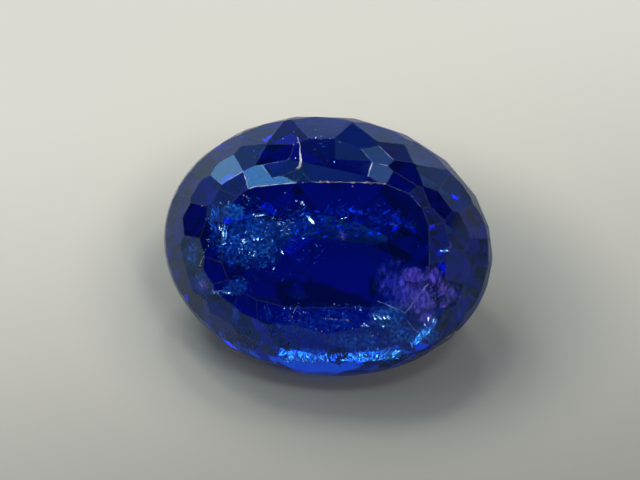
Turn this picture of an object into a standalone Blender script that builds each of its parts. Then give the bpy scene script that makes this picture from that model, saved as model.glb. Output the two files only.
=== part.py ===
"""A faceted oval tanzanite, 10.0 x 7.85 mm, lying tipped on one facet of its pavilion.

The stone is one crystal, so it is one solid. It is made the way a cutter makes it: an
oval preform is ground down by one flat facet after another. Each facet touches a smooth
guide dome at one spot, given by the compass direction it faces and by how far in from
the girdle it lies, so neighbours meet in the uneven honeycomb of a hand-cut stone.

The stone is cut in millimetres with its girdle in the XY plane, its long axis along X
and its table facing +Z. Last, it is tipped forward until one pavilion facet lies flat on
Z = 0. The origin is then at the bottom centre of its box, and one unit is a metre.
"""
import math

import bmesh
import bpy
from mathutils import Matrix, Vector

STONE_NAME = "tanzanite"
METRES_PER_MM = 0.001

# Girdle, the widest line of the stone, in mm and degrees
LENGTH = 10.0
WIDTH = 7.85
GIRDLE_THICKNESS = 0.30
GIRDLE_SIDES = 96
SHOULDER_STEPS = 48
SHOULDER_SLOPE = 70.0
SHOULDER_INSET = 0.03

# Crown, above the girdle: its table is a rounded rectangle, turned a little on the oval
CROWN_HEIGHT = 1.63
CROWN_FULLNESS = 1.15
TABLE_LENGTH = 6.04
TABLE_WIDTH = 3.60
TABLE_SQUARENESS = 3.0
TABLE_TURN = 6.0
TABLE_CENTRE = (0.12, -0.03)

# Pavilion, below the girdle: it closes in a keel off the centre, with a narrow flat culet
PAVILION_HEIGHT = 4.00
PAVILION_FULLNESS = 1.6
KEEL_LENGTH = 3.2
KEEL_WIDTH = 0.4
KEEL_SQUARENESS = 2.0
KEEL_CENTRE = (0.0, 0.5)

# The facet that the stone lies on, cut a little deeper than its row
REST_AZIMUTH = 270.0
REST_SLOPE = 37.0
REST_REACH = 3.15

# Facets as (direction faced, in degrees counter-clockwise from +X, part of the way in)
CROWN_FACETS = [
    (6, 0.20), (20, 0.24), (64, 0.21), (79, 0.16), (97, 0.18), (114, 0.17), (129, 0.15),
    (141, 0.15), (154, 0.15), (168, 0.15), (182, 0.15), (197, 0.15), (212, 0.15),
    (226, 0.15), (240, 0.15), (254, 0.15), (268, 0.15), (282, 0.15), (296, 0.15),
    (309, 0.15), (323, 0.15), (338, 0.15), (352, 0.18),

    (15, 0.48), (42, 0.38), (41, 0.71), (56, 0.44), (70, 0.62), (76, 0.37), (83, 0.50),
    (87, 0.37), (92, 0.56), (97, 0.55), (104, 0.29), (107, 0.54), (119, 0.45),
    (131, 0.48), (153, 0.50), (175, 0.51), (195, 0.49), (216, 0.47), (236, 0.50),
    (253, 0.45), (269, 0.50), (283, 0.48), (298, 0.45), (314, 0.50), (335, 0.48),
    (356, 0.50),

    (8, 0.90), (28, 0.92), (50, 0.90), (74, 0.84), (84, 0.80), (91, 0.77), (96, 0.92),
    (99, 0.93), (103, 0.96), (106, 0.80), (113, 0.83), (134, 0.82), (148, 0.85),
    (165, 0.85), (185, 0.85), (208, 0.82), (232, 0.80), (250, 0.82), (263, 0.82),
    (277, 0.82), (292, 0.68), (320, 0.67), (345, 0.85),
]
PAVILION_FACETS = [
    (18, 0.0, 0.07), (18, 10.0, 0.30), (14, 12.9, 0.58), (10, 0.0, 0.84),
]

# Flats on the girdle itself along the back, where the outline is straight-sided
GIRDLE_FLATS = [(14, 0.04), (30, 0.05), (47, 0.07), (64, 0.06), (79, 0.06), (95, 0.06),
                (111, 0.05), (130, 0.04)]

# Small chips along the girdle, as (direction faced, slope, depth past the girdle edge)
GIRDLE_CHIPS = [(302, 74, 0.05), (308, -72, 0.07), (313, 78, 0.06), (318, 70, 0.04),
                (324, -74, 0.06), (331, 72, 0.05), (352, 74, 0.06), (357, -76, 0.06),
                (8, 72, 0.05), (236, 72, 0.04), (262, 74, 0.04)]

POINT_MERGE = 0.01


def oval_support(azimuth, length, width, squareness):
    """Distance from the centre to the tangent line facing azimuth, for |x|^n + |y|^n."""
    power = squareness / (squareness - 1)
    along = abs(length / 2 * math.cos(azimuth)) ** power
    across = abs(width / 2 * math.sin(azimuth)) ** power
    return (along + across) ** (1 / power)


def girdle_support(azimuth):
    return oval_support(azimuth, LENGTH, WIDTH, 2.0)


def shift_towards(azimuth, centre):
    return centre[0] * math.cos(azimuth) + centre[1] * math.sin(azimuth)


def table_support(azimuth):
    turned = azimuth - math.radians(TABLE_TURN)
    return (shift_towards(azimuth, TABLE_CENTRE)
            + oval_support(turned, TABLE_LENGTH, TABLE_WIDTH, TABLE_SQUARENESS))


def keel_support(azimuth):
    return (shift_towards(azimuth, KEEL_CENTRE)
            + oval_support(azimuth, KEEL_LENGTH, KEEL_WIDTH, KEEL_SQUARENESS))


def cut_flat(bm, point, normal):
    """Grind away what lies beyond the plane and close the cut with one flat face."""
    everything = bm.verts[:] + bm.edges[:] + bm.faces[:]
    bmesh.ops.bisect_plane(bm, geom=everything, dist=1e-4, plane_co=point,
                           plane_no=normal, clear_outer=True)
    rim = [edge for edge in bm.edges if edge.is_boundary]
    if rim:
        bmesh.ops.holes_fill(bm, edges=rim, sides=0)


def cut_slope(bm, azimuth, slope, reach, height):
    """Grind a plane: it faces azimuth, and passes reach from the axis at height.

    The slope is measured from the girdle plane; it is negative on the pavilion.
    """
    outward = Vector((math.cos(azimuth), math.sin(azimuth), 0.0))
    point = outward * reach + Vector((0.0, 0.0, height))
    side = math.copysign(1.0, slope)
    normal = outward * math.sin(abs(slope)) + Vector((0.0, 0.0, side * math.cos(slope)))
    cut_flat(bm, point, normal)


def cut_dome_facet(bm, azimuth_deg, part, side):
    """Grind the facet that touches the crown (+1) or pavilion (-1) guide dome."""
    azimuth = math.radians(azimuth_deg)
    inner_support, top, fullness = {
        1: (table_support, CROWN_HEIGHT, CROWN_FULLNESS),
        -1: (keel_support, PAVILION_HEIGHT, PAVILION_FULLNESS),
    }[side]
    inset = girdle_support(azimuth) - inner_support(azimuth)
    rise = top / (2 / fullness - 1 / fullness ** 2)
    height = rise * (2 * part / fullness - (part / fullness) ** 2)
    steepness = 2 * rise / fullness * (1 - part / fullness)
    cut_slope(bm, azimuth, side * math.atan2(steepness, inset),
              girdle_support(azimuth) - part * inset,
              side * (GIRDLE_THICKNESS / 2 + height))


def cut_crown(bm):
    for azimuth_deg, part in CROWN_FACETS:
        cut_dome_facet(bm, azimuth_deg, part, 1)
    table = Vector((0.0, 0.0, GIRDLE_THICKNESS / 2 + CROWN_HEIGHT))
    cut_flat(bm, table, Vector((0.0, 0.0, 1.0)))


def cut_pavilion(bm):
    for count, first_deg, part in PAVILION_FACETS:
        for index in range(count):
            cut_dome_facet(bm, first_deg + index * 360.0 / count, part, -1)
    slope = math.radians(REST_SLOPE)
    cut_slope(bm, math.radians(REST_AZIMUTH), -slope, REST_REACH / math.sin(slope), 0.0)
    culet = Vector((0.0, 0.0, -GIRDLE_THICKNESS / 2 - PAVILION_HEIGHT))
    cut_flat(bm, culet, Vector((0.0, 0.0, -1.0)))


def cut_girdle(bm):
    """Round both shoulders of the girdle in small steps, then add flats and chips."""
    for side in (1, -1):
        for index in range(SHOULDER_STEPS):
            azimuth = math.radians((index + 0.5) * 360.0 / SHOULDER_STEPS)
            reach = girdle_support(azimuth) - SHOULDER_INSET
            cut_slope(bm, azimuth, side * math.radians(SHOULDER_SLOPE), reach,
                      side * GIRDLE_THICKNESS / 2)
    for azimuth_deg, inset in GIRDLE_FLATS:
        azimuth = math.radians(azimuth_deg)
        cut_slope(bm, azimuth, math.radians(90.0), girdle_support(azimuth) - inset, 0.0)
    for azimuth_deg, slope_deg, depth in GIRDLE_CHIPS:
        azimuth = math.radians(azimuth_deg)
        side = math.copysign(1.0, slope_deg)
        cut_slope(bm, azimuth, math.radians(slope_deg), girdle_support(azimuth) - depth,
                  side * GIRDLE_THICKNESS / 2)


def cut_stone():
    """The whole stone in mm, girdle level, as a closed bmesh."""
    bm = bmesh.new()
    blank_height = 2 * (GIRDLE_THICKNESS + PAVILION_HEIGHT)
    bmesh.ops.create_cone(bm, cap_ends=True, segments=GIRDLE_SIDES, radius1=1.0,
                          radius2=1.0, depth=blank_height)
    bmesh.ops.scale(bm, vec=Vector((LENGTH / 2, WIDTH / 2, 1.0)), verts=bm.verts)
    cut_girdle(bm)
    cut_crown(bm)
    cut_pavilion(bm)
    bmesh.ops.remove_doubles(bm, verts=bm.verts, dist=POINT_MERGE)
    bmesh.ops.dissolve_degenerate(bm, edges=bm.edges, dist=POINT_MERGE)
    bmesh.ops.recalc_face_normals(bm, faces=bm.faces)
    return bm


def lay_down(bm):
    """Tip the stone onto its rest facet, centre it over the origin, scale to metres."""
    bmesh.ops.rotate(bm, verts=bm.verts, cent=Vector((0.0, 0.0, 0.0)),
                     matrix=Matrix.Rotation(math.radians(REST_SLOPE), 3, "X"))
    low = [min(vert.co[axis] for vert in bm.verts) for axis in range(3)]
    high = [max(vert.co[axis] for vert in bm.verts) for axis in range(3)]
    centre = Vector(((low[0] + high[0]) / 2, (low[1] + high[1]) / 2, low[2]))
    bmesh.ops.translate(bm, verts=bm.verts, vec=-centre)
    bmesh.ops.scale(bm, vec=Vector((METRES_PER_MM,) * 3), verts=bm.verts)


def tanzanite_material():
    material = bpy.data.materials.new("tanzanite_blue")
    material.use_nodes = True
    shader = material.node_tree.nodes["Principled BSDF"]
    shader.inputs["Base Color"].default_value = (0.01, 0.015, 0.22, 1.0)
    shader.inputs["Roughness"].default_value = 0.05
    shader.inputs["Metallic"].default_value = 0.0
    shader.inputs["IOR"].default_value = 1.69
    shader.inputs["Transmission Weight"].default_value = 0.6
    return material


def main():
    for old in list(bpy.data.objects):
        bpy.data.objects.remove(old, do_unlink=True)
    collection = bpy.data.collections.new(STONE_NAME)
    bpy.context.scene.collection.children.link(collection)

    bm = cut_stone()
    lay_down(bm)
    mesh = bpy.data.meshes.new(STONE_NAME)
    bm.to_mesh(mesh)
    bm.free()
    mesh.materials.append(tanzanite_material())
    collection.objects.link(bpy.data.objects.new(STONE_NAME, mesh))


main()
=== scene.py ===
"""Looks of a faceted oval tanzanite: polished crystal, inclusions, floor, light, camera.

The inclusions are placed by where they show in the photograph. Sight sends a ray through
that pixel, bends it at the facet that it meets and follows it to the wanted depth.
"""

import math
import random

import bmesh
import bpy
from mathutils import Matrix, Vector, noise as waves
from mathutils.bvhtree import BVHTree

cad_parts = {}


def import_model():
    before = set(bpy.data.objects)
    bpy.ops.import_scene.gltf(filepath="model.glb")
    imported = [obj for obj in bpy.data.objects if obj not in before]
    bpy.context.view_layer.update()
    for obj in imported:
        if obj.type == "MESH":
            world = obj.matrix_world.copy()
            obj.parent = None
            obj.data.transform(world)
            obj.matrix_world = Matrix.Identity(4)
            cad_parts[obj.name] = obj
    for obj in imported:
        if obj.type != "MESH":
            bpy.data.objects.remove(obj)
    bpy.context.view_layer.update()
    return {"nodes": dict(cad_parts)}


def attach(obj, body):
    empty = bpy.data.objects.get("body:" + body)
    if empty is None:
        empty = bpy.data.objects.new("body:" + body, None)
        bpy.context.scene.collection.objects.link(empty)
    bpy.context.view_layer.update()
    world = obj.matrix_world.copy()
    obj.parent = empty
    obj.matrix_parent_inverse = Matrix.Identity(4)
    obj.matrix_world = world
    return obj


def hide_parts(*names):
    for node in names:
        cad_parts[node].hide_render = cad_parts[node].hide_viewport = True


MM = 0.001
NODE = "tanzanite"
STONE_NAME = "tanzanite_stone"
SEED = 5

# The photograph looks down at the table from the front, a little from the right
PHOTO_WIDTH, PHOTO_HEIGHT = 640, 480
CAMERA_AZIMUTH = 9.0
CAMERA_ELEVATION = 50.0
CAMERA_DISTANCE = 95.0 * MM
CAMERA_AIM = Vector((-0.50, 1.60, 1.32)) * MM
CAMERA_LENS = 172.0
CAMERA_SENSOR = 36.0
CAMERA_CLIP = (5.0 * MM, 5.0)
# About what one pixel of the photograph spans on the stone
PIXEL = 0.0303 * MM

# Surface of the stone
MERGE_DISTANCE = 0.002 * MM
FLAT_WITHIN = math.radians(0.4)
LEAST_FACET_AREA = 0.01 * MM * MM
GIRDLE_MOST_COSINE = 0.30
WORN_LEAST_LENGTH = 0.08 * MM
WORN_LEAST_NEIGHBOUR = 0.045 * MM
BEVEL = 0.010 * MM
BEVEL_SEGMENTS = 3
WORN_SLOT = 2
TRIM_ROUNDS = 3

# Crystal: in each millimetre, light of a colour fades to exp(value - 1) of what it was
CRYSTAL_IOR = 1.695
CRYSTAL_FADE = (0.10, 0.55, 0.915, 1.0)
CRYSTAL_DENSITY = 1.0 / MM
CRYSTAL_MIRROR = (0.20, 0.55, 1.0, 1.0)
WEAR_SCALE, WEAR_DETAIL = 900.0, 2.0
WEAR_FROM, WEAR_TO = 0.45, 0.75
# Finishes, in the order of their slots: name, least and most roughness, clearness
FINISHES = (
    ("tanzanite_polished", 0.04, 0.09, 1.0),
    ("tanzanite_girdle", 0.28, 0.50, 1.0),
    ("tanzanite_worn_edge", 0.06, 0.20, 0.97),
)


def sky(turn, elevation):
    """Unit vector: turn is degrees from straight back (+Y) towards the right (+X)."""
    turn, elevation = math.radians(turn), math.radians(elevation)
    return Vector((math.sin(turn) * math.cos(elevation),
                   math.cos(turn) * math.cos(elevation), math.sin(elevation)))


TO_CAMERA = sky(180 - CAMERA_AZIMUTH, CAMERA_ELEVATION)

# Softboxes: name, middle, width and height in degrees, radiance, colour
LIGHT_DISTANCE = 0.5
PANE_BLUE = (0.66, 0.90, 1.0)
KEY_RIGHT = ("key_right", sky(-4, 61), 8, 8, 22.0, (1.0, 0.95, 0.88))
KEY_LEFT = ("key_left", sky(-35, 66), 7, 7, 27.0, (1.0, 0.95, 0.88))
SIDE = ("side", sky(-50, 57), 14, 14, 9.5, (1.0, 0.92, 0.84))
FRONT = ("front", sky(115, 72), 10, 10, 16.0, (0.97, 0.97, 0.95))
FRONT_LOW = ("front_low", sky(141, 48), 7, 7, 18.0, (0.97, 0.97, 0.95))
TOP = ("top", sky(180, 78), 14, 12, 2.0, (1.0, 1.0, 1.0))
PANE_LEFT = ("pane_left", sky(-52, 27), 9, 8, 3.7, PANE_BLUE)
PANE_BACK = ("pane_back", sky(2, 43), 8, 7, 1.1, PANE_BLUE)
PANE_ZENITH = ("pane_zenith", sky(-8, 75), 6, 7, 1.5, (1.2, 1.06, 1.0))
PANE_ABOVE = ("pane_above", Vector((-0.33, -0.03, 0.94)).normalized(), 24, 10, 4.4, PANE_BLUE)
PANE_ABOVE_ALONG = sky(-125, 75) - sky(-71, 67)
HAZE_ABOVE = ("haze_above", sky(-78, 70), 24, 26, 0.35, (0.7, 1.06, 1.0))
HAZE_CORNER = ("haze_corner", sky(-38, 33), 10, 8, 0.75, (0.52, 0.71, 1.0))
HAZE_BACK = ("haze_back", sky(-9, 44), 7, 26, 0.25, (0.7, 1.06, 1.0))
BLUE_BACK = ("blue_back", sky(-17, 26), 18, 8, 0.30, (0.17, 0.14, 1.0))
BLUE_MIDDLE = ("blue_middle", sky(-3, 35), 8, 7, 0.7, (0.09, 0.21, 1.0))
BLUE_HIGH = ("blue_high", sky(-15, 52), 14, 7, 0.4, (0.09, 0.10, 1.0))
BLUE_LEFT = ("blue_left", sky(-70, 17), 14, 9, 0.8, (0.35, 0.35, 1.0))
FILL_RIGHT = ("fill_right", sky(112, 55), 56, 34, 0.28, (1.45, 0.88, 1.1))
FILL_LOW = ("fill_low", sky(80, 9), 50, 15, 0.38, (1.5, 1.06, 1.0))
FILL_LEFT = ("fill_left", sky(-92, 48), 34, 16, 0.40, (1.05, 1.06, 1.45))
LEVEL_SOFTBOXES = (
    KEY_RIGHT, KEY_LEFT, SIDE, FRONT, FRONT_LOW, TOP, PANE_LEFT, PANE_BACK, PANE_ZENITH,
    HAZE_ABOVE, HAZE_CORNER, HAZE_BACK, BLUE_BACK, BLUE_MIDDLE, BLUE_HIGH, BLUE_LEFT,
    FILL_RIGHT, FILL_LOW, FILL_LEFT,
)


def towards(*softboxes):
    """The directions in which the softboxes stand."""
    return [softbox[1] for softbox in softboxes]


# Which lights the slivers are turned to
SILK_LIGHTS = towards(KEY_RIGHT, KEY_LEFT, SIDE, PANE_ABOVE, FRONT)
GLINT_LIGHTS = towards(KEY_RIGHT, SIDE, FRONT)
FAN_LIGHTS = towards(FRONT_LOW)
LEAST_LIGHT_COSINE = 0.15

# Air round the stone, and a pale glow low behind it
AIR_BACK = (0.04, 0.06, 0.08)
AIR_FRONT = (0.035, 0.07, 0.42)
GLOW_COLOUR = (0.92, 0.96, 1.0)
GLOW_MIDDLE = sky(-8, 0)
GLOW_FADES_SIDEWAYS = (0.25, 0.95)
GLOW_FADES_UPWARDS = (0.36, 0.54)

# Floor: each pair is the colour near the viewer and far away, in the open and close to the
# stone. Darker towards the viewer and to the right is painted shade, and darker close to the
# stone is a painted shadow of the stone. Distances are in metres.
FLOOR_HALF, FLOOR_GRID = 0.6, 8
FLOOR_DROP = 0.01 * MM
FLOOR_ROUGHNESS, FLOOR_SPECULAR = 0.75, 0.2
FLOOR_SHADE_SLANT = (-0.45, 1.0, 0.0)
FLOOR_SHADE_SLANT_RANGE = (-0.014, 0.013)
FLOOR_OPEN = ((0.29, 0.30, 0.25), (0.76, 0.74, 0.62))
FLOOR_SHADOWED = ((0.145, 0.17, 0.16), (0.43, 0.44, 0.385))
# Painted shadow of the stone: the floor darkens within this range of the centre
SHADOW_CENTRE, SHADOW_STRETCH = (0.0008, 0.0008, 0.0), (1.0, 1.25, 1.0)
SHADOW_RANGE = (0.0045, 0.0095)
# Painted light: the floor glows faintly, and blue right under the stone, as if light came through
# it
POOL_CENTRE, POOL_STRETCH = (0.0, 0.0, 0.0), (1.0, 1.0, 1.0)
POOL_RANGE = (0.0020, 0.0032)
POOL_COLOURS = ((0.01, 0.03, 0.10), (0.030, 0.029, 0.022))

# Light paths
MOST_BOUNCES = 24
GLOSSY_BOUNCES = 16
INDIRECT_CLAMP = 40.0

# Grains and slivers: dark and light tone, roughness, metallic. What lies inside the crystal
# is metallic, because it mirrors light as a gap does.
GRAIN_SCALE, GRAIN_DETAIL = 6000.0, 6.0
GRAIN_FROM, GRAIN_TO = 0.35, 0.65
GRAIN_LOOKS = {
    "chalky_fill": ((0.45, 0.42, 0.36), (0.95, 0.93, 0.88), 0.6, 0.0),
    # Partly painted highlight: worn edges whose pale bluish white also stands for the shine on the
    # facet edges
    "worn_edge_highlight": ((0.15, 0.28, 0.50), (0.90, 0.96, 1.0), 0.4, 0.0),
    "iron_stain": ((0.20, 0.15, 0.11), (0.62, 0.56, 0.48), 0.7, 0.0),
    "silk_haze": ((0.003, 0.03, 0.30), (0.03, 0.22, 0.85), 0.38, 1.0),
    # Painted shade: near-black slivers put where the stone shows only dark
    "painted_shade_slivers": ((0.001, 0.01, 0.08), (0.004, 0.03, 0.22), 0.5, 1.0),
    "silk_bright": ((0.12, 0.48, 1.0), (0.62, 0.90, 1.0), 0.25, 1.0),
    "feather": ((0.01, 0.22, 1.0), (0.08, 0.60, 1.0), 0.20, 1.0),
    "violet_film": ((0.12, 0.06, 0.50), (0.38, 0.20, 0.90), 0.40, 1.0),
}
GRAIN_SIDES = 6
GRAIN_REACHES = (0.7, 1.0)
# Rings of a grain: how far along its axis and how wide, both as parts of its radius
GRAIN_RINGS = ((-0.7, 0.5), (-0.1, 1.0), (0.6, 0.6))

# Threads and chains: wander, tip and step are in pixels, gaps are the part left out, and
# thicknesses and sizes are parts of the width that is given
THREAD_SIDES = 5
THREAD_STEPS = 4
THREAD_WANDER = 0.18
THREAD_TIP = 0.1
THREAD_THICKNESSES = (0.6, 1.2)
CHAIN_STEP = 1.1
CHAIN_GAPS = 0.22
CHAIN_WANDER = 0.3
CHAIN_SIZES = (0.5, 1.3)

# Slivers: the far end lies no less deep than the first depth, and dips no further below the
# near end than the second
SLIVER_LEAST_DEPTH, SLIVER_MOST_DIP = 0.03 * MM, 0.3 * MM
SLIVER_HALF_THICKNESS = 0.0015 * MM
SLIVER_LENGTHS, SLIVER_WIDTHS = (0.35, 1.3), (0.5, 1.4)
SLIVER_TIP = 0.1
SLIVER_NEAR_HALVES, SLIVER_FAR_HALVES = (0.6, 1.0), (0.5, 1.0)

# Films
FILM_STEPS = 44
FILM_MARGIN = 0.03 * MM
FILM_THICKNESS = 0.003 * MM
FILM_RIPPLE, FILM_WAVE = 0.012 * MM, 0.16 * MM
WEAVE_PIXELS = 10
WEAVE_DETAIL, WEAVE_ROUGHNESS = 4.0, 0.55
WEAVE_FROM, WEAVE_TO = 0.40, 0.65
RIM_DENSITY = 0.25

# From here on, places are in pixels of the photograph
FISSURE = [(297.2, 137), (298.6, 141), (300, 144.4), (299.6, 150), (300.3, 156), (300.9, 161),
           (299.5, 166.8), (296, 168.5)]
FISSURE_WIDTHS = [0.5, 0.6, 0.9, 0.9, 2.3, 3.2, 2.8, 0.8]
FISSURE_CORE = FISSURE[4:7]
FISSURE_TAIL = [(296, 168.5), (293, 171), (289.7, 173), (285.5, 174), (281.7, 176.6)]
FISSURE_TAIL_WIDTHS = [1.3, 1.1, 1.0, 0.8, 0.6]
CURL = [(320, 161), (322, 163.5), (325, 164.5), (328, 163.2), (328.3, 160.8), (326, 159.6)]
SQUIGGLE = [(245, 188), (246.5, 184), (248, 180), (249.5, 178), (251.5, 180.5), (250.5, 184.5)]
HAIR_ARC = [(232, 276.7), (236, 275.9), (240, 276), (244, 278), (247, 281), (249.6, 284.6),
            (251, 288), (250.9, 291), (250, 294)]
SMALL_ARC = [(252, 276), (254.6, 277), (256, 279), (255.6, 281)]
# Hairs: places, width, depth
HAIRS = [(CURL, 1.0, 0.02 * MM), (SQUIGGLE, 0.8, 0.02 * MM), (HAIR_ARC, 0.7, 0.03 * MM),
         (SMALL_ARC, 0.7, 0.03 * MM)]
PALE_LINE = [(323.4, 318.7), (330, 318.9), (337, 319.3), (343.5, 320.1), (350, 320.4)]
CHIPPED_GIRDLE = [[(459.5, 329.6), (453, 333.8), (446.3, 337.6)],
                  [(445.7, 342.8), (436, 349.6), (422.2, 358.3), (415, 361.6), (408.4, 364)]]

# Worn lines, which follow the facet edges of the solid, made pale also as painted highlights along
# those edges: places and width
BRIGHT_EDGES = [
    ([(243.6, 171), (244.6, 175), (246.5, 182), (248, 188.9)], 0.8),
    ([(248, 188.9), (254.8, 186.9), (268, 185.5), (283, 183.9), (296.7, 182.4)], 1.2),
    ([(243.2, 171), (236, 175.4), (228, 180.4), (221.2, 184.5)], 0.45),
    ([(261.9, 165), (267, 171.5), (271.9, 177.8)], 0.35),
    ([(378.5, 145.6), (386, 152.7), (394, 160.1)], 0.35),
    ([(388.1, 165.9), (380, 163.8)], 0.25),
    ([(372.6, 161.8), (370.3, 169), (368.1, 176.5)], 1.5),
    ([(361.3, 149.3), (366.4, 155.3), (371.5, 161.4)], 0.25),
]
VIOLET_Y = [[(405.5, 313), (412, 304), (419, 295), (427.9, 283.6)],
            [(405.5, 313), (398, 309.5), (391, 306.6), (384, 303.4), (377.4, 300.8)],
            [(407, 320.4), (410, 324.6), (414, 329), (417.6, 333)]]
VIOLET_Y_WIDTH = 0.35
BROKEN_LINES = [
    [(206.5, 249), (203.5, 252.5), (204, 256.5), (201.5, 260), (200.3, 264), (199, 267.6)],
    [(195.6, 274), (196.8, 278), (199.2, 281.5), (201.2, 285), (203, 288)],
    [(211.7, 290.6), (216, 291.4), (220.5, 291), (225, 292.6), (229.5, 293.6), (233.5, 295.4)],
    [(298.9, 303), (296.8, 307), (294.3, 310.6), (292.6, 314.4), (292, 318), (289.6, 321),
     (286.9, 323.8)],
    [(299.5, 313.5), (302.4, 316.3), (304.8, 319.6), (306.4, 322.7)],
    [(300, 319.2), (297.4, 322.6), (295.5, 326)],
]
SPECKS = [(293.8, 131.8), (315.6, 129.7), (321.3, 136.4), (329.9, 138.7), (282.8, 138.7),
          (288.4, 158.8), (302.9, 182.6), (228.7, 159.6), (254.7, 157), (254, 151),
          (285, 193), (300, 201.5), (302.6, 203), (301, 204), (310.4, 326.7), (316.1, 329),
          (321.9, 331.3), (328.2, 330.7), (334.2, 304), (352.5, 328.4), (398.6, 335.9),
          (384.3, 325.5), (460, 297)]
SPECK_RADII = (0.4, 0.8)

TABLE_WEAR = [(311.2, 181.8), (325, 182.0), (345, 182.3), (362, 182.5), (379.5, 182.8),
              (386.3, 184.3)]
TABLE_WEAR_WIDTH = 0.45
WEAR_BLOBS = [((316, 182), (329, 182.2)), ((350, 182.4), (354, 182.5)), ((364, 182.6), (386, 184))]
OCHRE_SPECKS = [(202, 206), (243.6, 195.4), (246.5, 196.6), (248, 198), (285, 193),
                (352.7, 186.3)]
OCHRE_RADII = (0.6, 1.1)
# Widths of the chains of grains
CORE_CHAIN = 2.0
PALE_CHAIN = 1.0
GIRDLE_CHAIN = 1.6
BROKEN_CHAIN = 0.9
BLOB_CHAIN = 2.2

# Patches of slivers: middle, half size, how many, depth range in mm, length and width in
# pixels, lean from level in degrees, and its spread
SILK_HAZE = [
    ((247, 233), (40, 38), 520, (0.15, 1.1), 3.2, 0.8, 80, 60),
    ((256, 246), (22, 20), 300, (0.10, 0.7), 3.4, 0.9, 50, 40),
    ((233, 257), (9, 9), 110, (0.3, 0.9), 3.5, 1.3, 60, 50),
    ((257, 262), (20, 8), 110, (0.10, 0.5), 6.0, 0.7, 35, 20),
    ((216, 224), (4, 13), 50, (0.3, 0.8), 9.0, 1.6, 105, 10),
    ((288, 225), (26, 18), 160, (0.10, 0.5), 9.0, 0.5, 10, 35),
    ((290, 256), (34, 30), 90, (0.10, 0.9), 3.0, 0.7, 60, 50),
    ((360, 225), (50, 26), 90, (0.2, 1.2), 4.0, 0.6, 20, 60),
    ((318, 150), (20, 16), 20, (0.10, 0.8), 4.0, 0.5, 5, 15),
    ((237, 319), (4, 9), 26, (0.4, 0.9), 7.0, 1.3, 100, 10),
    ((268, 315), (4, 7), 18, (0.5, 0.9), 7.0, 1.2, 100, 12),
    ((222, 293), (12, 2.5), 34, (0.10, 0.5), 4.5, 1.3, 10, 25),
    ((238, 285), (9, 5), 60, (0.2, 0.8), 4.0, 1.0, 35, 30),
    ((330, 325), (74, 20), 300, (0.15, 0.9), 3.5, 0.7, 60, 60),
    ((306, 357), (20, 7), 90, (0.05, 0.3), 8.0, 0.7, 60, 60),
    ((370, 358), (24, 8), 110, (0.05, 0.3), 8.0, 0.7, 40, 50),
    ((423, 336), (14, 8), 60, (0.05, 0.3), 7.0, 0.7, 60, 40),
    # Deep slivers, which cloud the keel
    ((345, 223), (62, 15), 330, (2.0, 3.4), 9.0, 2.2, 15, 40),
]
# Painted shade: dark slivers put where the stone shows only dark, which part the flashes and cloud
# the glow of single facets
SHADE_SLIVERS = [
    ((337, 357), (10, 8), 150, (0.02, 0.1), 5.0, 1.4, 60, 40),
    ((283, 351), (6, 9), 70, (0.02, 0.1), 5.0, 1.4, 60, 40),
    ((240, 343), (21, 11), 380, (0.02, 0.1), 5.0, 1.4, 130, 30),
    ((300, 296), (9, 5), 40, (0.1, 0.4), 3.5, 1.2, 60, 60),
    ((226, 213), (5, 4), 30, (0.1, 0.3), 3.0, 1.2, 60, 60),
    ((267, 138), (7, 4), 40, (0.05, 0.2), 3.5, 1.2, 30, 40),
    ((241, 137), (6, 3), 20, (0.05, 0.2), 3.0, 1.2, 30, 40),
    ((411, 226), (7, 4), 30, (0.05, 0.3), 3.5, 1.2, 130, 40),
    ((455, 196), (4, 3), 16, (0.05, 0.2), 3.0, 1.2, 130, 40),
    ((441, 267), (4, 6), 24, (0.05, 0.2), 3.0, 1.2, 100, 40),
]
SILK_BRIGHT = [
    ((240, 232), (36, 34), 60, (0.10, 0.5), 2.2, 0.7, 80, 60),
    ((254, 246), (18, 16), 40, (0.10, 0.4), 2.6, 0.8, 50, 40),
    ((224, 236), (2, 8), 12, (0.2, 0.5), 7.0, 1.2, 100, 8),
    ((219.5, 229), (1, 3), 4, (0.05, 0.1), 4.0, 0.8, 115, 6),
    ((257, 216), (5, 1.4), 12, (0.05, 0.15), 4.5, 1.2, 20, 10),
    ((243, 241), (3, 2), 8, (0.10, 0.2), 3.4, 1.2, 40, 40),
    ((256.5, 240), (2.6, 1), 6, (0.10, 0.15), 4.2, 1.5, 100, 8),
    ((254, 255), (2.4, 2), 7, (0.10, 0.2), 3.6, 1.4, 45, 40),
    ((280, 222), (24, 12), 40, (0.05, 0.3), 5.0, 0.4, 15, 35),
    ((222, 293.4), (10, 1.4), 16, (0.05, 0.3), 3.6, 1.2, 10, 20),
    ((330, 322), (70, 18), 46, (0.05, 0.4), 2.2, 0.8, 60, 60),
    ((383, 317.5), (9, 1.6), 22, (0.10, 0.2), 5.0, 1.2, 120, 12),
    ((388, 326), (7, 5), 16, (0.10, 0.3), 3.4, 1.0, 120, 25),
    ((365, 326), (4, 2), 9, (0.10, 0.3), 3.4, 1.2, 40, 30),
    ((443.5, 251), (3.6, 1.2), 10, (0.05, 0.1), 3.6, 1.3, 15, 20),
    ((393, 225), (4, 1.2), 6, (0.10, 0.2), 3.0, 0.9, 10, 20),
    ((318, 150), (36, 14), 9, (0.05, 0.3), 2.0, 0.7, 30, 60),
]
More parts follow.
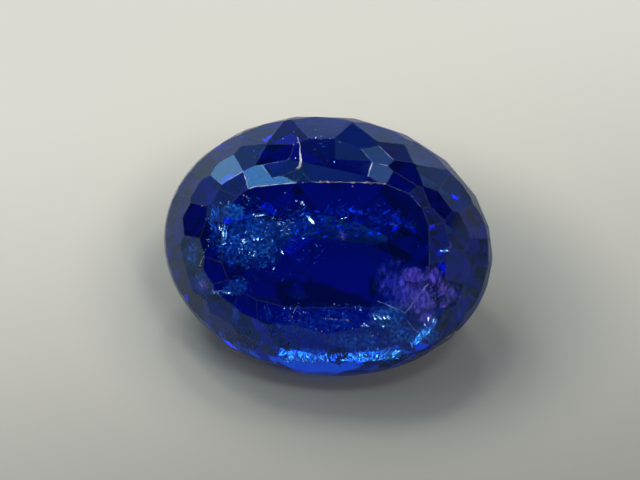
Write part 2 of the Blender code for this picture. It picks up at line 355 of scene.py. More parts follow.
VIOLET_PATCHES = [
    ((413, 276), (11, 7), 130, (0.05, 0.3), 2.0, 0.9, 110, 60),
    ((408, 289), (13, 15), 24, (0.10, 0.5), 3.0, 0.6, 98, 16),
    ((396, 272), (16, 12), 12, (0.3, 0.8), 2.0, 0.6, 98, 40),
    ((428, 300), (8, 14), 16, (0.05, 0.3), 3.0, 0.7, 60, 14),
    ((203, 287), (4.5, 4.5), 60, (0.05, 0.2), 4.0, 1.0, 60, 12),
    ((342, 237), (5, 5), 16, (0.08, 0.3), 3.0, 0.6, 60, 40),
    ((441, 292), (4, 5), 40, (0.05, 0.2), 7.0, 1.0, 55, 8),
    ((443, 306), (4, 3), 26, (0.05, 0.2), 5.0, 1.0, 50, 10),
    ((450, 249), (2, 4), 8, (0.05, 0.1), 4.0, 0.6, 100, 15),
]
VIOLET_STREAKS = [[(438, 297), (441, 293), (445, 288)], [(439, 309), (443, 306.5), (447, 304)],
                  [(426.8, 315.8), (430, 312), (433.4, 308), (436, 304)]]
VIOLET_STREAK_WIDTH, VIOLET_STREAK_DEPTH = 1.0, 0.05 * MM
# Spread of the angle by which slivers miss the lights, in degrees
HAZE_TILT, SILK_TILT, FAN_TILT, GLINT_TILT = 14.0, 10.0, 3.0, 2.0

# Fans of slivers that stand on a line: its ends, how many, height, lean at each end
FLASH_FANS = [
    ((287, 361), (327, 363), 150, 10, 150, 50),
    ((348, 363), (394, 359), 200, 11, 150, 30),
    ((412, 347), (435, 327), 190, 9, 70, 100),
]
FAN_RISE = (-5.0, 0.8)
FAN_SPREAD = 22
FAN_HEIGHTS = (0.3, 1.0)
FAN_DEPTHS = (0.05, 0.25)
FAN_WIDTHS = (0.9, 2.4)

# Glints: place, length and width in pixels, lean in degrees
GLINTS = [
    ((308, 217), 9.5, 3.6, -48), ((306, 216), 5.0, 1.4, -8), ((301, 203), 3.0, 2.0, 40),
    ((302.4, 204), 2.6, 1.2, -30), ((295.6, 200), 2.2, 0.9, -40), ((223.4, 238), 7.0, 1.2, 95),
    ((221.4, 244.6), 4.0, 2.4, 20), ((224.6, 243), 2.0, 1.2, -30), ((219, 226.4), 4.5, 0.9, -70),
    ((254.6, 216.8), 3.4, 1.4, 25), ((257.4, 215.8), 3.6, 1.5, 5), ((242.6, 240), 3.2, 1.4, -60),
    ((243.4, 244), 3.0, 1.0, 50), ((254.4, 241.6), 3.6, 1.1, 100), ((257.6, 240.6), 3.4, 1.4, 70),
    ((251.8, 254.4), 3.4, 1.2, -50), ((248.6, 252.6), 1.6, 1.2, 0), ((245, 233), 2.0, 1.0, 60),
    ((280, 225), 2.6, 1.4, 120), ((276.4, 222), 1.8, 1.2, 30), ((302, 238), 2.0, 1.2, -20),
    ((281, 250), 6.0, 0.7, -60), ((213, 293), 3.0, 2.2, 20), ((227, 293.6), 4.0, 1.6, 20),
    ((440.6, 250.6), 4.0, 2.2, -5), ((444.4, 250.4), 4.0, 1.8, -10),
    ((340.6, 218.8), 2.4, 1.0, 20), ((344.6, 217.8), 2.4, 1.0, 10), ((272.6, 270), 3.4, 0.9, 50),
    ((374.6, 317.6), 3.0, 2.4, -60), ((379, 316.6), 4.0, 2.0, -55), ((383, 316.4), 4.0, 1.8, -50),
    ((387, 316.6), 4.0, 1.4, -50), ((382.6, 325), 3.0, 1.4, -60), ((364, 324.4), 3.0, 1.6, -20),
    ((428, 321), 4.0, 2.0, 80), ((424, 326), 3.0, 1.6, 60), ((433, 322), 4.0, 1.2, 80),
]
GLINT_DEPTH = 0.08 * MM

# Soft films: middle, half size in pixels, lean in degrees, depth in mm, density
VIOLET_FILMS = [
    ((414, 276), (17, 13), 0, 0.35, 1.3), ((408, 291), (18, 26), 0, 0.5, 1.0),
    ((395, 282), (32, 34), 0, 0.8, 0.5), ((203, 287), (7, 6), 30, 0.2, 0.7),
    ((342, 236), (9, 7), 0, 0.2, 0.35),
]
SILK_FILMS = [
    ((245, 238), (42, 38), 0, 0.7, 0.75), ((234, 212), (14, 11), 0, 0.12, 1.6),
    ((258, 245), (26, 22), 0, 0.4, 0.8), ((236, 287), (16, 9), 0, 0.5, 0.9),
    ((330, 322), (76, 20), 0, 0.9, 0.5),
]
# Films that face the front light
VIOLET_FRONT = [
    ((421, 300), (20, 24), 0, 0.2, 1.1), ((427, 317), (15, 15), 0, 0.2, 0.9),
    ((449, 293), (15, 18), 0, 0.2, 0.55), ((434, 277), (14, 18), 0, 0.2, 0.7),
]
BLUE_FRONT = [
    ((389, 317), (26, 17), 0, 0.2, 1.2), ((401, 334), (24, 14), 0, 0.2, 0.9),
    ((428, 337), (17, 14), 0, 0.2, 1.1), ((396, 354), (22, 11), 0, 0.15, 0.7),
    ((355, 341), (48, 12), 0, 0.2, 0.5), ((200, 284), (13, 19), 0, 0.2, 0.5),
    ((192, 253), (13, 19), 0, 0.2, 0.4),
]
SIDE_LIGHT, FRONT_LIGHT = towards(SIDE, FRONT)
# Veils: piece; material with dark and light tone, roughness, the sums of weave and density
# at which it is clear and full, and grain of the weave; the films that mirror each light
VEILS = (
    ("violet_veils",
     ("violet_veil", (0.08, 0.07, 0.60), (0.32, 0.22, 1.0), 0.44, (0.5, 1.45), (3.2, 1.4, 1.0)),
     ((SIDE_LIGHT, VIOLET_FILMS), (FRONT_LIGHT, VIOLET_FRONT))),
    ("silk_veils",
     ("silk_veil", (0.006, 0.07, 0.45), (0.04, 0.30, 1.0), 0.45, (0.5, 1.3), (3.0, 3.0, 1.0)),
     ((SIDE_LIGHT, SILK_FILMS), (FRONT_LIGHT, BLUE_FRONT))),
)


def main():
    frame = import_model()
    node = frame["nodes"][NODE]
    stone = make_stone(node)
    carry(stone)
    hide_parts(NODE)
    sight = Sight(node)
    make_bits(sight)
    make_veils(sight)
    make_floor()
    make_world()
    make_lights()
    make_camera()
    set_light_paths()


def carry(piece):
    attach(piece, "root")


def new_piece(name, bm, *materials):
    """An object in the scene with the bmesh's shape, which is freed, and the materials."""
    mesh = bpy.data.meshes.new(name)
    bm.to_mesh(mesh)
    bm.free()
    for material in materials:
        mesh.materials.append(material)
    piece = bpy.data.objects.new(name, mesh)
    bpy.context.scene.collection.objects.link(piece)
    return piece


def facet_solid(node):
    """The CAD solid with its triangles joined back into flat facets."""
    bm = bmesh.new()
    bm.from_mesh(node.data)
    bmesh.ops.transform(bm, matrix=node.matrix_world, verts=bm.verts)
    bmesh.ops.remove_doubles(bm, verts=bm.verts, dist=MERGE_DISTANCE)
    bmesh.ops.dissolve_limit(bm, angle_limit=FLAT_WITHIN, verts=bm.verts, edges=bm.edges,
                             delimit=set())
    return bm


def facet_planes(bm):
    """A corner and the normal of each facet that is large enough for a sure normal."""
    return [(face.verts[0].co.copy(), face.normal.copy()) for face in bm.faces
            if face.calc_area() > LEAST_FACET_AREA]


def is_worn(edge):
    """Whether an edge and the edges that it meets are long enough to be rounded."""
    return edge.calc_length() > WORN_LEAST_LENGTH and all(
        near.calc_length() > WORN_LEAST_NEIGHBOUR
        for vert in edge.verts for near in vert.link_edges)


def trim(bm, planes):
    """Push what the bevel throws out of the stone back under its facets."""
    for vert in bm.verts:
        for _ in range(TRIM_ROUNDS):
            for corner, normal in planes:
                out = (vert.co - corner).dot(normal)
                if out > 0:
                    vert.co -= normal * out


def make_stone(node):
    bm = facet_solid(node)
    planes = facet_planes(bm)
    table = max(bm.faces, key=lambda face: face.calc_area())
    table_normal = table.normal.copy()
    for face in bm.faces:
        face.material_index = int(abs(face.normal.dot(table_normal)) < GIRDLE_MOST_COSINE)
    worn = [edge for edge in bm.edges if is_worn(edge)]
    bmesh.ops.bevel(bm, geom=worn, offset=BEVEL, offset_type="OFFSET", segments=BEVEL_SEGMENTS,
                    profile=0.5, affect="EDGES", clamp_overlap=False, material=WORN_SLOT)
    trim(bm, planes)
    bmesh.ops.recalc_face_normals(bm, faces=bm.faces)
    return new_piece(STONE_NAME, bm, *[crystal_material(*finish) for finish in FINISHES])


def new_material(name):
    """A material with its node tree and its shader node."""
    material = bpy.data.materials.new(name)
    material.use_nodes = True
    tree = material.node_tree
    return material, tree, tree.nodes["Principled BSDF"]


def crystal_material(name, least_roughness, most_roughness, clear):
    material, tree, shader = new_material(name)
    shader.inputs["Base Color"].default_value = (1.0, 1.0, 1.0, 1.0)
    shader.inputs["IOR"].default_value = CRYSTAL_IOR
    shader.inputs["Transmission Weight"].default_value = clear
    shader.inputs["Specular Tint"].default_value = CRYSTAL_MIRROR
    wear = noise(tree, WEAR_SCALE, WEAR_DETAIL)
    roughness = smooth_range(tree, wear, WEAR_FROM, WEAR_TO, least_roughness, most_roughness)
    tree.links.new(roughness, shader.inputs["Roughness"])
    absorb = tree.nodes.new("ShaderNodeVolumeAbsorption")
    absorb.inputs["Color"].default_value = CRYSTAL_FADE
    absorb.inputs["Density"].default_value = CRYSTAL_DENSITY
    tree.links.new(absorb.outputs["Volume"], tree.nodes["Material Output"].inputs["Volume"])
    return material


def grain_material(name, dark, light, roughness, metallic):
    """Grains and slivers whose colour wanders between two tones."""
    material, tree, shader = new_material(name)
    grain = smooth_range(tree, noise(tree, GRAIN_SCALE, GRAIN_DETAIL), GRAIN_FROM, GRAIN_TO)
    tree.links.new(mix_colours(tree, grain, dark, light), shader.inputs["Base Color"])
    shader.inputs["Roughness"].default_value = roughness
    shader.inputs["Metallic"].default_value = metallic
    return material


def film_material(name, dark, light, roughness, cover_range, grain):
    """A film that shows where the sum of its weave and its density is high."""
    material, tree, shader = new_material(name)
    weave = attribute(tree, "weave").outputs["Vector"]
    dense = attribute(tree, "dense").outputs["Fac"]
    texture = tree.nodes.new("ShaderNodeTexNoise")
    texture.inputs["Scale"].default_value = 1.0
    texture.inputs["Detail"].default_value = WEAVE_DETAIL
    texture.inputs["Roughness"].default_value = WEAVE_ROUGHNESS
    tree.links.new(vector_math(tree, "MULTIPLY", weave, grain).outputs["Vector"],
                   texture.inputs["Vector"])
    total = number_math(tree, "ADD", texture.outputs["Fac"], dense)
    cover = number_math(tree, "MULTIPLY", smooth_range(tree, total, *cover_range),
                        smooth_range(tree, dense, 0.0, RIM_DENSITY))
    tree.links.new(cover, shader.inputs["Alpha"])
    shade = smooth_range(tree, texture.outputs["Fac"], WEAVE_FROM, WEAVE_TO)
    tree.links.new(mix_colours(tree, shade, dark, light), shader.inputs["Base Color"])
    shader.inputs["Roughness"].default_value = roughness
    shader.inputs["Metallic"].default_value = 1.0
    return material


class Sight:
    """Finds the places in and on the stone that show at a pixel of the photograph."""

    def __init__(self, node):
        bm = facet_solid(node)
        self.tree = BVHTree.FromBMesh(bm)
        self.facets = facet_planes(bm)
        self.low, self.high = ([pick(vert.co[axis] for vert in bm.verts) for axis in range(3)]
                               for pick in (min, max))
        bm.free()
        self.eye = CAMERA_AIM + TO_CAMERA * CAMERA_DISTANCE
        self.axes = TO_CAMERA.to_track_quat("Z", "Y").to_matrix()
        self.pixel = CAMERA_SENSOR / CAMERA_LENS / PHOTO_WIDTH

    def ray(self, place):
        across = (place[0] - PHOTO_WIDTH / 2) * self.pixel
        upward = (PHOTO_HEIGHT / 2 - place[1]) * self.pixel
        return (self.axes @ Vector((across, upward, -1.0))).normalized()

    def look(self, place):
        """Surface point, outward normal and refracted direction of the sight line, or None."""
        ray = self.ray(place)
        point, normal, _, _ = self.tree.ray_cast(self.eye, ray)
        if point is None:
            return None
        return point, normal, bend(ray, normal)

    def inside(self, place, depth):
        """The point that shows at the place, as deep as depth along the sight line, or None."""
        found = self.look(place)
        if found is None:
            return None
        point, _, inward = found
        return point + inward * depth

    def mirror_normal(self, normal, inward, lights, rng):
        """The way a flake faces to send a light, through the same facet, to the camera."""
        seen = [light for light in lights if light.dot(normal) > LEAST_LIGHT_COSINE] or [normal]
        return -(inward + bend(-rng.choice(seen), normal)).normalized()

    def holds(self, point, margin):
        """Whether the point lies under every facet by at least the margin."""
        return all((point - corner).dot(normal) < -margin for corner, normal in self.facets)

    def boxed(self, point):
        """The point, moved into the box of the stone where it lies just outside."""
        return Vector(max(low, min(high, value))
                      for low, value, high in zip(self.low, point, self.high))


def bend(ray, normal):
    """Snell's law for a ray that enters the crystal."""
    ratio = 1.0 / CRYSTAL_IOR
    cosine = -ray.dot(normal)
    inner = math.sqrt(1.0 - ratio * ratio * (1.0 - cosine * cosine))
    return ray * ratio + normal * (ratio * cosine - inner)


class Bits:
    """Many small closed solids that are joined in one mesh."""

    def __init__(self, rng, sight):
        self.rng, self.sight = rng, sight
        self.verts, self.faces = [], []

    def ring_solid(self, rings):
        """A closed solid through rings of equally many points."""
        start, sides = len(self.verts), len(rings[0])
        for ring in rings:
            self.verts.extend(ring)
        for level in range(len(rings) - 1):
            for side in range(sides):
                low = start + level * sides
                after = (side + 1) % sides
                self.faces.append((low + side, low + after, low + sides + after,
                                   low + sides + side))
        self.faces.append(tuple(start + side for side in reversed(range(sides))))
        top = start + (len(rings) - 1) * sides
        self.faces.append(tuple(top + side for side in range(sides)))

    def grain(self, centre, radius):
        """A rough grain round a random axis."""
        axis = Vector([self.rng.gauss(0, 1) for _ in range(3)]).normalized()
        across = axis.orthogonal().normalized()
        upward = axis.cross(across)
        rings = []
        for lift, reach in GRAIN_RINGS:
            ring = []
            for side in range(GRAIN_SIDES):
                angle = math.tau * side / GRAIN_SIDES
                size = radius * reach * self.rng.uniform(*GRAIN_REACHES)
                ring.append(centre + axis * (lift * radius) + across * (size * math.cos(angle))
                            + upward * (size * math.sin(angle)))
            rings.append(ring)
        self.ring_solid(rings)

    def thread(self, points, radii):
        """A tube through the points."""
        rings = []
        for index, point in enumerate(points):
            before, after = points[max(index - 1, 0)], points[min(index + 1, len(points) - 1)]
            axis = (after - before).normalized()
            across = axis.cross(TO_CAMERA).normalized()
            upward = across.cross(axis)
            angles = [math.tau * side / THREAD_SIDES for side in range(THREAD_SIDES)]
            rings.append([point + across * (radii[index] * math.cos(angle))
                          + upward * (radii[index] * math.sin(angle)) for angle in angles])
        self.ring_solid(rings)

    def finish(self, name, material):
        bm = bmesh.new()
        verts = [bm.verts.new(self.sight.boxed(vert)) for vert in self.verts]
        for face in self.faces:
            bm.faces.new([verts[index] for index in face])
        bm.normal_update()
        bmesh.ops.recalc_face_normals(bm, faces=bm.faces)
        carry(new_piece(name, bm, material))


class Films:
    """Thin wavy sheets inside the crystal, each dense in its middle and faint at its rim."""

    def __init__(self, sight):
        self.sight = sight
        self.bm = bmesh.new()
        self.dense = self.bm.verts.layers.float.new("dense")
        self.weave = self.bm.verts.layers.float_vector.new("weave")

    def add(self, light, middle, half, lean, depth, density):
        """A sheet that mirrors the light, as deep as depth (mm) under its middle."""
        sight = self.sight
        point, normal, inward = sight.look(middle)
        foot = point + inward * (depth * MM)
        facing = sight.mirror_normal(normal, inward, [light], random.Random(SEED))
        way = math.radians(lean)
        rows = []
        for row in range(FILM_STEPS + 1):
            rows.append([])
            for column in range(FILM_STEPS + 1):
                u, v = 2 * column / FILM_STEPS - 1, 2 * row / FILM_STEPS - 1
                across, down = u * half[0], v * half[1]
                place = (middle[0] + across * math.cos(way) + down * math.sin(way),
                         middle[1] - across * math.sin(way) + down * math.cos(way))
                ray = sight.ray(place)
                start = sight.eye + ray * ((point - sight.eye).dot(normal) / ray.dot(normal))
                inner = bend(ray, normal)
                spot = start + inner * ((foot - start).dot(facing) / inner.dot(facing))
                spot += facing * (FILM_RIPPLE * waves.noise(spot / FILM_WAVE))
                vert = self.bm.verts.new(spot)
                reach = max(0.0, 1.0 - math.hypot(u, v))
                vert[self.dense] = density * reach * reach * (3 - 2 * reach)
                vert[self.weave] = Vector((place[0] / WEAVE_PIXELS, place[1] / WEAVE_PIXELS,
                                           density))
                rows[-1].append(vert if reach > 0 and sight.holds(spot, FILM_MARGIN) else None)
        self.skin(rows)

    def skin(self, rows):
        """Span the grid of verts with faces where all four corners are there; thicken it."""
        faces = []
        for upper, lower in zip(rows, rows[1:]):
            for index in range(FILM_STEPS):
                corners = (upper[index], upper[index + 1], lower[index + 1], lower[index])
                if None not in corners:
                    faces.append(self.bm.faces.new(corners))
        bmesh.ops.solidify(self.bm, geom=faces, thickness=FILM_THICKNESS)

    def finish(self, name, material):
        bm = self.bm
        bmesh.ops.delete(bm, geom=[vert for vert in bm.verts if not vert.link_faces],
                         context="VERTS")
        bmesh.ops.recalc_face_normals(bm, faces=bm.faces)
        sort_faces(bm)
        piece = new_piece(name, bm, material)
        piece.data.shade_smooth()
        carry(piece)


def sort_faces(bm):
    """Put the faces in the order of their verts, because solidify's order differs by run."""
    bm.verts.index_update()
    in_order = sorted(bm.faces, key=lambda face: sorted(vert.index for vert in face.verts))
    ranks = {face: rank for rank, face in enumerate(in_order)}
    bm.faces.sort(key=lambda face: ranks[face])


def thread_at(bits, places, widths, depth):
    """A thread of uneven thickness along the places, as deep as depth."""
    points, radii = [], []
    for index in range(len(places) - 1):
        for step in range(THREAD_STEPS + (index == len(places) - 2)):
            part = step / THREAD_STEPS
            place = [a + (b - a) * part for a, b in zip(places[index], places[index + 1])]
            wander = [bits.rng.gauss(0, THREAD_WANDER) for _ in range(2)]
            point = bits.sight.inside((place[0] + wander[0], place[1] + wander[1]), depth)
            if point is None:
                continue
            width = widths[index] + (widths[index + 1] - widths[index]) * part
            points.append(point)
            radii.append(width * PIXEL / 2 * bits.rng.uniform(*THREAD_THICKNESSES))
    radii[0] = radii[-1] = THREAD_TIP * PIXEL
    bits.thread(points, radii)


def even_thread_at(bits, places, width, depth):
    thread_at(bits, places, [width] * len(places), depth)


def chain_at(bits, places, size):
    """A broken chain of grains along the places, on the surface."""
    for index in range(len(places) - 1):
        first, second = Vector(places[index]), Vector(places[index + 1])
        count = max(2, round((second - first).length / CHAIN_STEP))
        for step in range(count):
            if bits.rng.random() < CHAIN_GAPS:
                continue
            place = first.lerp(second, (step + bits.rng.random()) / count)
            point = bits.sight.inside((place[0], place[1] + bits.rng.gauss(0, CHAIN_WANDER)), 0.0)
            if point is not None:
                bits.grain(point, size * PIXEL / 2 * bits.rng.uniform(*CHAIN_SIZES))


def grains_at(bits, places, radii):
    """Single grains on the surface, with radii between the two that are given."""
    for place in places:
        bits.grain(bits.sight.inside(place, 0.0), bits.rng.uniform(*radii) * PIXEL)


def step_from(start, way, length):
    """The place at a distance from the start; way is the angle above level, in radians."""
    return start + Vector((math.cos(way), -math.sin(way))) * length


def sliver_between(bits, start, end, depth, width, lights, tilt_deg):
    """A long thin plate between two places, rolled towards where it mirrors a light."""
    sight, rng = bits.sight, bits.rng
    found, far = sight.look(start), sight.look(end)
    if found is None or far is None:
        return
    point, normal, inward = found
    far_point, _, far_inward = far
    foot = point + inward * depth
    facing = sight.mirror_normal(normal, inward, lights, rng)
    facing += Vector([rng.gauss(0, math.radians(tilt_deg)) for _ in range(3)])
    reach = (foot - far_point).dot(facing) / far_inward.dot(facing)
    reach = min(max(reach, SLIVER_LEAST_DEPTH), depth + SLIVER_MOST_DIP)
    other = far_point + far_inward * reach
    axis = (other - foot).normalized()
    facing = (facing - axis * facing.dot(axis)).normalized()
    across = axis.cross(facing)
    lift = facing * SLIVER_HALF_THICKNESS
    halves = ((0.0, SLIVER_TIP), (0.3, rng.uniform(*SLIVER_NEAR_HALVES)),
              (0.7, rng.uniform(*SLIVER_FAR_HALVES)), (1.0, SLIVER_TIP))
    rim = [(foot.lerp(other, part), across * (width * PIXEL / 2 * half))
           for part, half in halves]
    outline = [centre + side for centre, side in rim]
    outline += [centre - side for centre, side in reversed(rim)]
    bits.ring_solid([[corner - lift for corner in outline], [corner + lift for corner in outline]])


def slivers_at(bits, patches, tilt_deg):
    """Slivers strewn over oval patches."""
    rng = bits.rng
    for middle, half, count, depths, length, width, lean, spread in patches:
        for _ in range(count):
            angle, reach = rng.uniform(0, math.tau), math.sqrt(rng.random())
            start = Vector((middle[0] + half[0] * reach * math.cos(angle),
                            middle[1] + half[1] * reach * math.sin(angle)))
            way = math.radians(rng.gauss(lean, spread))
            end = step_from(start, way, length * rng.uniform(*SLIVER_LENGTHS))
            sliver_between(bits, start, end, rng.uniform(*depths) * MM,
                           width * rng.uniform(*SLIVER_WIDTHS), SILK_LIGHTS, tilt_deg)


def fan_at(bits, left, right, count, height, left_lean, right_lean):
    """Slivers that stand close together on the line from left to right."""
    rng = bits.rng
    for _ in range(count):
        part = rng.random()
        start = Vector(left).lerp(Vector(right), part)
        start.y += rng.uniform(*FAN_RISE)
        lean = left_lean + (right_lean - left_lean) * part + rng.gauss(0, FAN_SPREAD)
        end = step_from(start, math.radians(lean), height * rng.uniform(*FAN_HEIGHTS))
        sliver_between(bits, start, end, rng.uniform(*FAN_DEPTHS) * MM,
                       rng.uniform(*FAN_WIDTHS), FAN_LIGHTS, FAN_TILT)


def add_fissure_fill(bits):
    """The chalky fissure in the crown, fine hairs and the chipped girdle."""
    thread_at(bits, FISSURE, FISSURE_WIDTHS, 0.0)
    chain_at(bits, FISSURE_CORE, CORE_CHAIN)
    for places, width, depth in HAIRS:
        even_thread_at(bits, places, width, depth)
    chain_at(bits, PALE_LINE, PALE_CHAIN)
    for places in CHIPPED_GIRDLE:
        chain_at(bits, places, GIRDLE_CHAIN)


def add_worn_edge_highlights(bits):
    # Worn edges and specks, pale also as painted highlights of the facet edges
    for places, width in BRIGHT_EDGES:
        even_thread_at(bits, places, width, 0.0)
    for places in VIOLET_Y:
        even_thread_at(bits, places, VIOLET_Y_WIDTH, 0.0)
    for places in BROKEN_LINES:
        chain_at(bits, places, BROKEN_CHAIN)
    grains_at(bits, SPECKS, SPECK_RADII)


def add_iron_stains(bits):
    thread_at(bits, FISSURE_TAIL, FISSURE_TAIL_WIDTHS, 0.03 * MM)
    even_thread_at(bits, TABLE_WEAR, TABLE_WEAR_WIDTH, 0.0)
    for places in WEAR_BLOBS:
        chain_at(bits, places, BLOB_CHAIN)
    grains_at(bits, OCHRE_SPECKS, OCHRE_RADII)


def add_silk_haze(bits):
    slivers_at(bits, SILK_HAZE, HAZE_TILT)


# Painted shade: dark slivers that make the dark between flashes
def add_shade_slivers(bits):
    slivers_at(bits, SHADE_SLIVERS, SILK_TILT)


def add_silk_bright(bits):
    slivers_at(bits, SILK_BRIGHT, SILK_TILT)


def add_glints(bits):
    for place, length, width, lean in GLINTS:
        way = math.radians(lean)
        end = (place[0] + length * math.cos(way), place[1] - length * math.sin(way))
        sliver_between(bits, place, end, GLINT_DEPTH, width, GLINT_LIGHTS, GLINT_TILT)


def add_feathers(bits):
    for fan in FLASH_FANS:
        fan_at(bits, *fan)


def add_violet_flakes(bits):
    slivers_at(bits, VIOLET_PATCHES, SILK_TILT)
    for places in VIOLET_STREAKS:
        even_thread_at(bits, places, VIOLET_STREAK_WIDTH, VIOLET_STREAK_DEPTH)


def make_bits(sight):
    """Grains, threads and slivers, one piece for each kind; they share the random draws."""
    rng = random.Random(SEED)
    looks = {name: grain_material(name, *look) for name, look in GRAIN_LOOKS.items()}
    for name, look, add in (
            ("fissure_fill", "chalky_fill", add_fissure_fill),
            ("worn_edge_highlights", "worn_edge_highlight", add_worn_edge_highlights),
            ("iron_stains", "iron_stain", add_iron_stains),
            ("silk_haze", "silk_haze", add_silk_haze),
            ("painted_shade_slivers", "painted_shade_slivers", add_shade_slivers),
            ("silk_bright", "silk_bright", add_silk_bright),
            ("glints", "silk_bright", add_glints),
            ("feather_flashes", "feather", add_feathers),
            ("violet_flakes", "violet_film", add_violet_flakes)):
        bits = Bits(rng, sight)
        add(bits)
        bits.finish(name, looks[look])


def make_veils(sight):
    """Soft films, one piece for each kind of veil."""
    for name, look, groups in VEILS:
        sheets = Films(sight)
        for light, films in groups:
            for film in films:
                sheets.add(light, *film)
        sheets.finish(name, film_material(*look))


def floor_distance(tree, coords, centre, stretch):
    """Distance on the floor from the centre, in metres, stretched along each axis."""
    shift = vector_math(tree, "SUBTRACT", coords, centre).outputs["Vector"]
    spread = vector_math(tree, "MULTIPLY", shift, stretch).outputs["Vector"]
    return vector_math(tree, "LENGTH", spread).outputs["Value"]


def make_floor():
    """A pale sweep with painted shade, darker towards the viewer and to the right, a painted
    shadow close to the stone, and a faint painted glow that is blue under the stone.
    """
    bm = bmesh.new()
    bmesh.ops.create_grid(bm, x_segments=FLOOR_GRID, y_segments=FLOOR_GRID, size=FLOOR_HALF)
    bmesh.ops.translate(bm, vec=Vector((0, 0, -FLOOR_DROP)), verts=bm.verts)
    material, tree, shader = new_material("floor_grey")
    coords = tree.nodes.new("ShaderNodeTexCoord").outputs["Object"]
    # Painted shade: the floor colour darkens towards the viewer and to the right
    slant = vector_math(tree, "DOT_PRODUCT", coords, FLOOR_SHADE_SLANT).outputs["Value"]
    depth = smooth_range(tree, slant, *FLOOR_SHADE_SLANT_RANGE)
    # Painted shadow: darker close to the stone
    out_of_shadow = smooth_range(tree, floor_distance(tree, coords, SHADOW_CENTRE, SHADOW_STRETCH),
                        *SHADOW_RANGE)
    tone = mix_colours(tree, out_of_shadow, mix_colours(tree, depth, *FLOOR_SHADOWED),
                       mix_colours(tree, depth, *FLOOR_OPEN))
    tree.links.new(tone, shader.inputs["Base Color"])
    # Painted light: faint glow over the floor, blue under the stone
    under = smooth_range(tree, floor_distance(tree, coords, POOL_CENTRE, POOL_STRETCH),
                         *POOL_RANGE)
    tree.links.new(mix_colours(tree, under, *POOL_COLOURS), shader.inputs["Emission Color"])
    shader.inputs["Emission Strength"].default_value = 1.0
    shader.inputs["Roughness"].default_value = FLOOR_ROUGHNESS
    shader.inputs["Specular IOR Level"].default_value = FLOOR_SPECULAR
    floor = new_piece("floor", bm, material)


def make_softbox(name, direction, width_deg, height_deg, radiance, tint, along=None):
    """A soft panel facing the stone, sized in degrees as the stone sees it.

    Its width runs level, or as near as it can to the vector along.
    """
    light = bpy.data.lights.new(name, "AREA")
    light.shape = "RECTANGLE"
    light.size = 2 * LIGHT_DISTANCE * math.tan(math.radians(width_deg / 2))
    light.size_y = 2 * LIGHT_DISTANCE * math.tan(math.radians(height_deg / 2))
    light.energy = radiance * math.pi * light.size * light.size_y
    light.color = tint
    lamp = bpy.data.objects.new(name, light)
    across = along or Vector((0, 0, 1)).cross(direction)
    across = (across - direction * across.dot(direction)).normalized()
    upward = direction.cross(across)
    rotation = Matrix((across, upward, direction)).transposed().to_4x4()
    lamp.matrix_world = Matrix.Translation(direction * LIGHT_DISTANCE) @ rotation
    bpy.context.scene.collection.objects.link(lamp)


def make_lights():
    for softbox in LEVEL_SOFTBOXES:
        make_softbox(*softbox)
    make_softbox(*PANE_ABOVE, along=PANE_ABOVE_ALONG)


def make_world():
    """Dim air, blue towards the front, with a pale glow low behind as from a bright wall."""
    world = bpy.data.worlds.new("studio")
    bpy.context.scene.world = world
    world.use_nodes = True
    tree = world.node_tree
    coords = tree.nodes.new("ShaderNodeTexCoord").outputs["Generated"]
    split = tree.nodes.new("ShaderNodeSeparateXYZ")
    tree.links.new(coords, split.inputs[0])
    to_front = tree.nodes.new("ShaderNodeMapRange")
    to_front.inputs["From Min"].default_value = 0.0
    to_front.inputs["From Max"].default_value = -1.0
    tree.links.new(split.outputs["Y"], to_front.inputs["Value"])
    air = mix_colours(tree, to_front.outputs["Result"], AIR_BACK, AIR_FRONT)
    low = smooth_range(tree, split.outputs["Z"], *GLOW_FADES_UPWARDS, 1.0, 0.0)
    facing = vector_math(tree, "DOT_PRODUCT", coords, GLOW_MIDDLE).outputs["Value"]
    behind = smooth_range(tree, facing, *GLOW_FADES_SIDEWAYS)
    glow = number_math(tree, "MULTIPLY", low, behind)
    background = tree.nodes["Background"]
    tree.links.new(mix_colours(tree, glow, air, GLOW_COLOUR), background.inputs["Color"])
    background.inputs["Strength"].default_value = 1.0


def noise(tree, scale, detail):
    coords = tree.nodes.new("ShaderNodeTexCoord")
    texture = tree.nodes.new("ShaderNodeTexNoise")
    texture.inputs["Scale"].default_value = scale
    texture.inputs["Detail"].default_value = detail
    tree.links.new(coords.outputs["Object"], texture.inputs["Vector"])
    return texture.outputs["Fac"]


def attribute(tree, name):
    node = tree.nodes.new("ShaderNodeAttribute")
    node.attribute_name = name
    return node


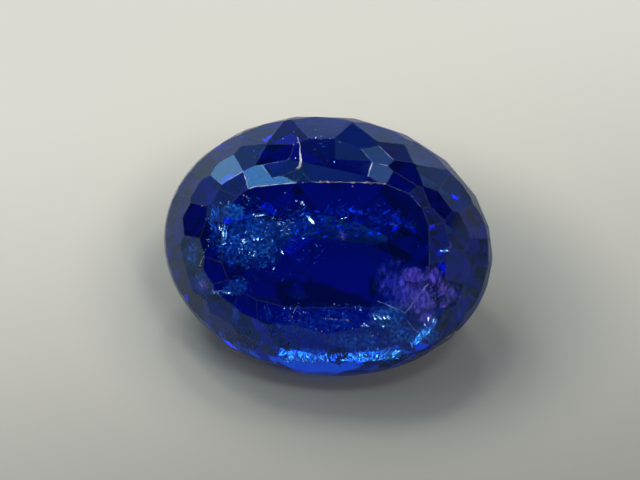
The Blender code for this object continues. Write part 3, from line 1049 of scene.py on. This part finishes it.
def smooth_range(tree, value, low, high, at_low=0.0, at_high=1.0):
    ramp = tree.nodes.new("ShaderNodeMapRange")
    ramp.interpolation_type = "SMOOTHSTEP"
    ramp.inputs["From Min"].default_value = low
    ramp.inputs["From Max"].default_value = high
    ramp.inputs["To Min"].default_value = at_low
    ramp.inputs["To Max"].default_value = at_high
    tree.links.new(value, ramp.inputs["Value"])
    return ramp.outputs["Result"]


def number_math(tree, operation, first, second):
    node = tree.nodes.new("ShaderNodeMath")
    node.operation = operation
    tree.links.new(first, node.inputs[0])
    tree.links.new(second, node.inputs[1])
    return node.outputs[0]


def vector_math(tree, operation, value, constant=(0.0, 0.0, 0.0)):
    node = tree.nodes.new("ShaderNodeVectorMath")
    node.operation = operation
    node.inputs[1].default_value = constant
    tree.links.new(value, node.inputs[0])
    return node


def mix_colours(tree, factor, first, second):
    """Mix two colours, each given as a tuple or as an output socket."""
    mix = tree.nodes.new("ShaderNodeMix")
    mix.data_type = "RGBA"
    sockets = {socket.identifier: socket for socket in mix.inputs}
    tree.links.new(factor, sockets["Factor_Float"])
    for colour, socket in ((first, sockets["A_Color"]), (second, sockets["B_Color"])):
        if isinstance(colour, tuple):
            socket.default_value = colour + (1.0,)
        else:
            tree.links.new(colour, socket)
    return {socket.identifier: socket for socket in mix.outputs}["Result_Color"]


def make_camera():
    camera = bpy.data.objects.new("camera", bpy.data.cameras.new("camera"))
    bpy.context.scene.collection.objects.link(camera)
    camera.location = CAMERA_AIM + TO_CAMERA * CAMERA_DISTANCE
    camera.rotation_euler = TO_CAMERA.to_track_quat("Z", "Y").to_euler()
    camera.data.lens = CAMERA_LENS
    camera.data.sensor_width = CAMERA_SENSOR
    camera.data.clip_start, camera.data.clip_end = CAMERA_CLIP
    bpy.context.scene.camera = camera


def set_light_paths():
    """Plain colours, and enough bounces for light to leave the stone again."""
    scene = bpy.context.scene
    scene.view_settings.view_transform = "Standard"
    scene.cycles.max_bounces = MOST_BOUNCES
    scene.cycles.transmission_bounces = MOST_BOUNCES
    scene.cycles.glossy_bounces = GLOSSY_BOUNCES
    scene.cycles.sample_clamp_indirect = INDIRECT_CLAMP
    scene.cycles.caustics_refractive = False


main()
